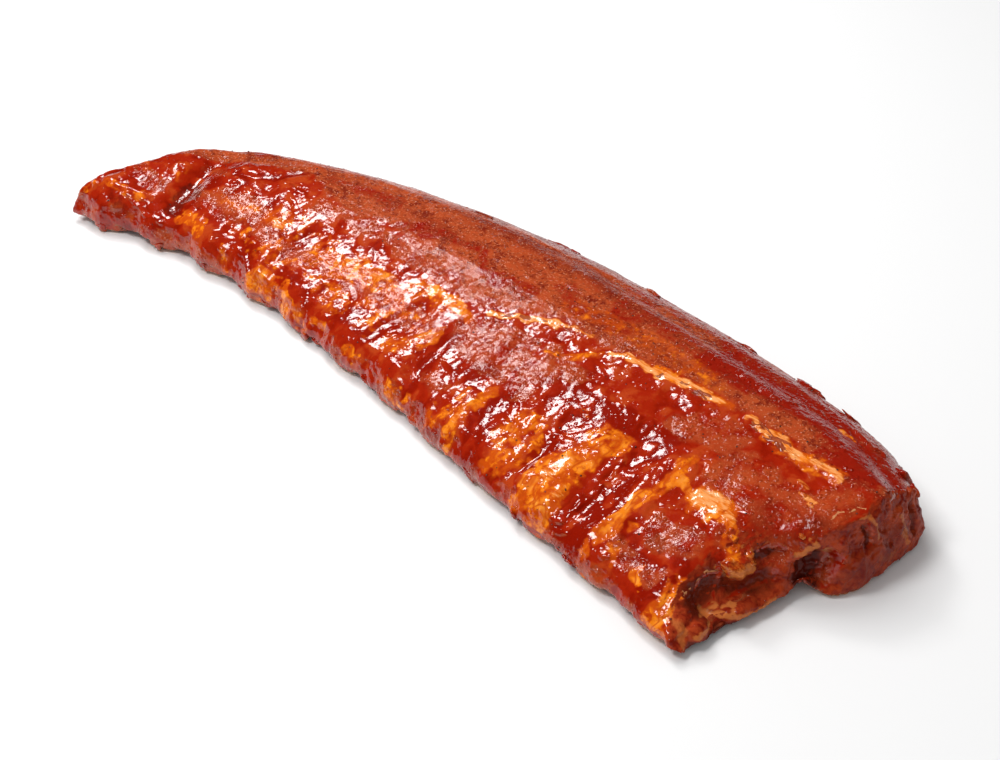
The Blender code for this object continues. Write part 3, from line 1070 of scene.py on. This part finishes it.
def mask(tree, name, broken_by=None, amount=0.0, low=0.25, high=0.75):
    """An attribute with its edge broken up by a pattern and tightened."""
    value = add_node(tree, "ShaderNodeAttribute", attribute_name=name).outputs["Fac"]
    if broken_by is not None:
        value = add_node(tree, "ShaderNodeMath", {0: broken_by, 1: amount, 2: value}, operation="MULTIPLY_ADD")
        value = value.outputs[0]
        value = add_node(tree, "ShaderNodeMath", {0: value, 1: amount / 2}, operation="SUBTRACT").outputs[0]
    ends = {"Value": value, "From Min": low, "From Max": high}
    return add_node(tree, "ShaderNodeMapRange", ends, interpolation_type="SMOOTHSTEP").outputs[0]


def blend(tree, share, first, second):
    """second over first by share."""
    node = add_node(tree, "ShaderNodeMix", data_type="RGBA")
    sockets = {"Factor": share, "A": first, "B": second}
    for name, value in sockets.items():
        socket = next(s for s in node.inputs if s.name == name and s.type in ("RGBA", "VALUE") and s.enabled)
        if isinstance(value, bpy.types.NodeSocket):
            tree.links.new(value, socket)
        else:
            socket.default_value = value
    return next(s for s in node.outputs if s.enabled)


def between(tree, share, low, high):
    """A number that goes from low to high with share."""
    return add_node(tree, "ShaderNodeMapRange", {"Value": share, "To Min": low, "To Max": high}).outputs[0]


# %% Glazed pork
BRICK = linear("#762010")
BRICK_LIGHT = linear("#ba5228")
# The pink of the painted sparkle: flecks that stand in for tiny glints on the rub.
SPARKLE_FLECK_PINK = linear("#d4825c")
LOIN_FILM = linear("#8c1808")
THIN_SAUCE = linear("#ac3a14")
SAUCE = linear("#9a1e06")
DEEP_SAUCE = linear("#841202")
AMBER_DARK = linear("#bc460a")
AMBER_LIGHT = linear("#e67a12")
AMBER_GLOW = linear("#f4a648")
PALE_FAT = linear("#ea9e60")
# The dark red-brown of the painted shade in folds and hollows.
SHADE_PAINT_DARK = linear("#4a140c")
RAW_DARK = linear("#74180c")
RAW_LIGHT = linear("#a43c1c")
TENDON = linear("#c06a34")
UNDERSIDE = linear("#7a2a16")
UNDERSIDE_LIGHT = linear("#a4502e")
BONE = linear("#c88a5c")


def pattern(tree, at, size, detail=3.0, roughness=0.55, distortion=0.0):
    """Noise whose hills are about this many mm wide."""
    scale = 1 / (size * MM)
    inputs = {"Vector": at, "Scale": scale, "Detail": detail, "Roughness": roughness, "Distortion": distortion}
    return add_node(tree, "ShaderNodeTexNoise", inputs).outputs["Fac"]


def spice_grains(tree, at, size, kept):
    """Round grains as a height from 0 to 1, one in a `kept` share of cells of about this many mm."""
    cells = add_node(tree, "ShaderNodeTexVoronoi", {"Vector": at, "Scale": 1 / (size * MM)})
    ends = {"Value": cells.outputs["Distance"], "From Min": 0.5, "From Max": 0.05}
    top = add_node(tree, "ShaderNodeMapRange", ends, interpolation_type="SMOOTHSTEP").outputs[0]
    there = add_node(tree, "ShaderNodeSeparateColor", {"Color": cells.outputs["Color"]}).outputs[0]
    there = add_node(tree, "ShaderNodeMath", {0: there, 1: kept}, operation="LESS_THAN").outputs[0]
    return add_node(tree, "ShaderNodeMath", {0: top, 1: there}, operation="MULTIPLY").outputs[0]


def glazed_pork():
    material = bpy.data.materials.new("glazed pork")
    material.use_nodes = True
    tree = material.node_tree
    shader = tree.nodes["Principled BSDF"]
    at = add_node(tree, "ShaderNodeTexCoord").outputs["Object"]
    blotches = pattern(tree, at, 9, 4)
    speckle = pattern(tree, at, 0.9, 2)
    broken = pattern(tree, at, 2.4, 4, 0.6, 0.6)
    along = add_node(tree, "ShaderNodeVectorMath", {0: at, 1: (0.18, 1.0, 1.0)}, operation="MULTIPLY").outputs[0]
    fibres = pattern(tree, along, 1.2, 3, 0.6, 0.3)

    grains = spice_grains(tree, at, 2.2, 0.6)

    loin = mask(tree, "loin", broken, 0.5)
    frost = mask(tree, "frost", broken, 0.3)
    pool = mask(tree, "pool", broken, 0.2)
    mottle = add_node(tree, "ShaderNodeMath", {0: blotches, 1: broken}, operation="ADD").outputs[0]
    mottle = add_node(tree, "ShaderNodeMapRange", {"Value": mottle, "From Min": 0.8, "From Max": 1.15}).outputs[0]
    brick = blend(tree, mottle, BRICK, BRICK_LIGHT)
    broad = pattern(tree, along, 20, 2)
    shade = add_node(tree, "ShaderNodeMapRange", {"Value": broad, "From Min": 0.5, "From Max": 0.7}).outputs[0]
    brick = blend(tree, shade, brick, BRICK)
    # Painted sparkle: pink flecks stand in for the tiny glints on the granular rub of the loin and the frosty
    # patches.
    painted_sparkle_flecks = add_node(tree, "ShaderNodeMapRange", {"Value": speckle, "From Min": 0.58, "From Max": 0.74}).outputs[0]
    brick = blend(tree, painted_sparkle_flecks, brick, SPARKLE_FLECK_PINK)
    film = mask(tree, "film", mottle, 0.8, 0.0, 0.9)
    brick = blend(tree, film, brick, LOIN_FILM)
    thin = mask(tree, "thick", broken, 0.6, 0.5, 0.05)
    sauce = blend(tree, thin, SAUCE, THIN_SAUCE)
    sauce = blend(tree, mask(tree, "thick", broken, 0.3, 0.55, 1.1), sauce, DEEP_SAUCE)
    sauce = blend(tree, pool, sauce, DEEP_SAUCE)
    # The frosty patches take the rub's brick colour, and with it the painted sparkle flecks.
    dry = add_node(tree, "ShaderNodeMath", {0: frost, 1: 0.75}, operation="MULTIPLY").outputs[0]
    uneven = add_node(tree, "ShaderNodeMapRange", {"Value": blotches, "From Min": 0.36, "From Max": 0.56})
    dry = add_node(tree, "ShaderNodeMath", {0: dry, 1: uneven.outputs[0]}, operation="MULTIPLY").outputs[0]
    dry = add_node(tree, "ShaderNodeMath", {0: loin, 1: dry}, operation="MAXIMUM").outputs[0]
    base = blend(tree, dry, sauce, brick)
    raw = blend(tree, mottle, RAW_DARK, RAW_LIGHT)
    cut = mask(tree, "cut", broken, 0.4, 0.1, 0.8)
    base = blend(tree, cut, base, raw)
    amber = mask(tree, "amber", broken, 0.5, 0.15, 0.75)
    amber_colour = blend(tree, mask(tree, "amber", mottle, 1.3, 0.35, 1.2), AMBER_DARK, AMBER_LIGHT)
    amber_colour = blend(tree, mask(tree, "amber", blotches, 2.6, 0.8, 1.9), amber_colour, AMBER_GLOW)
    across = add_node(tree, "ShaderNodeVectorMath", {0: at, 1: (1.0, 0.3, 1.0)}, operation="MULTIPLY").outputs[0]
    veins = pattern(tree, across, 8, 2, 0.5, 1.2)
    veins = add_node(tree, "ShaderNodeMath", {0: veins, 1: 0.5}, operation="SUBTRACT").outputs[0]
    veins = add_node(tree, "ShaderNodeMath", {0: veins}, operation="ABSOLUTE").outputs[0]
    veins = add_node(tree, "ShaderNodeMapRange", {"Value": veins, "From Min": 0.12, "From Max": 0.0}).outputs[0]
    amber_colour = blend(tree, veins, amber_colour, AMBER_DARK)
    amber_colour = blend(tree, cut, amber_colour, TENDON)
    base = blend(tree, amber, base, amber_colour)
    fat = mask(tree, "fat", fibres, 1.4, 0.25, 0.95)
    fat_colour = blend(tree, mask(tree, "fat", fibres, 2.4, 0.35, 1.15), AMBER_LIGHT, PALE_FAT)
    base = blend(tree, fat, base, fat_colour)
    bone = mask(tree, "bone", broken, 0.5, 0.1, 1.1)
    membrane = blend(tree, bone, blend(tree, mottle, UNDERSIDE, UNDERSIDE_LIGHT), BONE)
    base = blend(tree, mask(tree, "under", broken, 0.6, 0.2, 0.9), base, membrane)
    # Painted shade: folds, valleys and the hollows of the cut face darkened to dark red-brown.
    painted_shade = mask(tree, "painted_shade", broken, 0.8, 0.2, 1.1)
    base = blend(tree, painted_shade, base, SHADE_PAINT_DARK)
    tree.links.new(base, shader.inputs["Base Color"])

    tree.links.new(between(tree, loin, 0.35, 0.5), shader.inputs["Roughness"])
    wet = add_node(tree, "ShaderNodeMath", {0: film, 1: 0.7}, operation="MULTIPLY").outputs[0]
    matt = add_node(tree, "ShaderNodeMath", {0: loin, 1: wet}, operation="SUBTRACT").outputs[0]
    matt = add_node(tree, "ShaderNodeMath", {0: matt, 1: 0.6}, operation="MULTIPLY").outputs[0]
    matt = add_node(tree, "ShaderNodeMath", {0: matt, 1: cut}, operation="MAXIMUM").outputs[0]
    tree.links.new(between(tree, matt, 1.0, 0.25), shader.inputs["Coat Weight"])
    shader.inputs["IOR"].default_value = 1.4
    shader.inputs["Specular IOR Level"].default_value = 0.02
    shader.inputs["Coat Roughness"].default_value = 0.085
    shader.inputs["Coat IOR"].default_value = 1.5

    rough_skin = add_node(tree, "ShaderNodeMath", {0: loin, 1: frost}, operation="MAXIMUM").outputs[0]
    spice = {"Height": grains, "Strength": between(tree, rough_skin, 0.22, 0.7), "Distance": 0.6 * MM}
    spice = add_node(tree, "ShaderNodeBump", spice).outputs[0]
    grain = {"Height": speckle, "Strength": between(tree, rough_skin, 0.1, 0.55), "Distance": 0.25 * MM}
    grain = add_node(tree, "ShaderNodeBump", grain | {"Normal": spice})
    creases = {"Height": broken, "Strength": between(tree, rough_skin, 0.13, 0.3), "Distance": 0.5 * MM}
    creases["Normal"] = grain.outputs[0]
    creases = add_node(tree, "ShaderNodeBump", creases)
    tree.links.new(creases.outputs[0], shader.inputs["Normal"])
    tree.links.new(creases.outputs[0], shader.inputs["Coat Normal"])
    return material


pork = glazed_pork()


def ground_spice():
    """Ground pepper and dried herbs, wet with marinade: dark, with the odd brick-red grain."""
    material = bpy.data.materials.new("ground spice")
    material.use_nodes = True
    tree = material.node_tree
    shader = tree.nodes["Principled BSDF"]
    at = add_node(tree, "ShaderNodeTexCoord").outputs["Object"]
    hue = pattern(tree, at, 3.0, 1)
    share = add_node(tree, "ShaderNodeMapRange", {"Value": hue, "From Min": 0.45, "From Max": 0.6}).outputs[0]
    colour = blend(tree, share, linear("#2a0d07"), linear("#8a2a12"))
    tree.links.new(colour, shader.inputs["Base Color"])
    shader.inputs["Roughness"].default_value = 0.5
    shader.inputs["Coat Weight"].default_value = 0.5
    shader.inputs["Coat Roughness"].default_value = 0.1
    return material


spice = ground_spice()
SLOTS = (("glazed_meat", pork, [skin, scrap_piece]), ("glaze", pork, coats),
         ("fat", pork, [fat_piece]), ("spice", spice, [grain_piece]))
for slot, material, pieces in SLOTS:
    for piece in pieces:
        piece.data.materials.append(material)
        piece.data.shade_smooth()
        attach(piece, "root")
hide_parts(SOLID)

# %% [markdown]
# ## Floor and light
# A plain white table under soft studio light. Glossy things show the light they mirror, so only the two softboxes
# can be mirrored: the main one left of the rack and behind it, and a weaker one in front, which gives the rib tips
# and the near corner their glints. A wide key and a wide fill only add soft light, without a mirror image.

# %% Floor
def add_floor():
    bpy.ops.mesh.primitive_plane_add(size=8, location=(0, 0, -0.0002))
    floor = bpy.context.object
    floor.name = "floor"
    material = bpy.data.materials.new("matt white board")
    material.use_nodes = True
    shader = material.node_tree.nodes["Principled BSDF"]
    shader.inputs["Base Color"].default_value = linear("#e8e8e8")
    shader.inputs["Roughness"].default_value = 0.9
    shader.inputs["Specular IOR Level"].default_value = 0.0
    floor.data.materials.append(material)
    return floor


floor = add_floor()


# %% Lights
def area_light(name, place, aim, size, watts):
    data = bpy.data.lights.new(name, "AREA")
    data.shape = "RECTANGLE"
    data.size, data.size_y = size
    data.energy = watts
    light = bpy.data.objects.new(name, data)
    bpy.context.scene.collection.objects.link(light)
    light.location = place
    light.rotation_euler = (Vector(aim) - Vector(place)).to_track_quat("-Z", "Y").to_euler()
    return light


area_light("softbox", SOFTBOX_PLACE, (0, 0, 0), (0.235, 0.235), 3.9)
area_light("side softbox", on_dome(-110, 60, 1.2), (0, 0, 0), (0.3, 0.3), 6)
key = area_light("key", on_dome(172, 64, 1.5), (0, 0, 0), (0.8, 0.8), 11)
key.visible_glossy = False
fill = area_light("fill", on_dome(-60, 50, 1.6), (0, 0, 0), (1.4, 1.0), 2.5)
fill.visible_glossy = False


def set_world():
    world = bpy.data.worlds.new("studio")
    world.use_nodes = True
    background = world.node_tree.nodes["Background"]
    background.inputs["Color"].default_value = (1, 1, 1, 1)
    background.inputs["Strength"].default_value = 0.36
    world.cycles_visibility.glossy = False
    bpy.context.scene.world = world


set_world()
bpy.context.scene.view_settings.view_transform = "Standard"
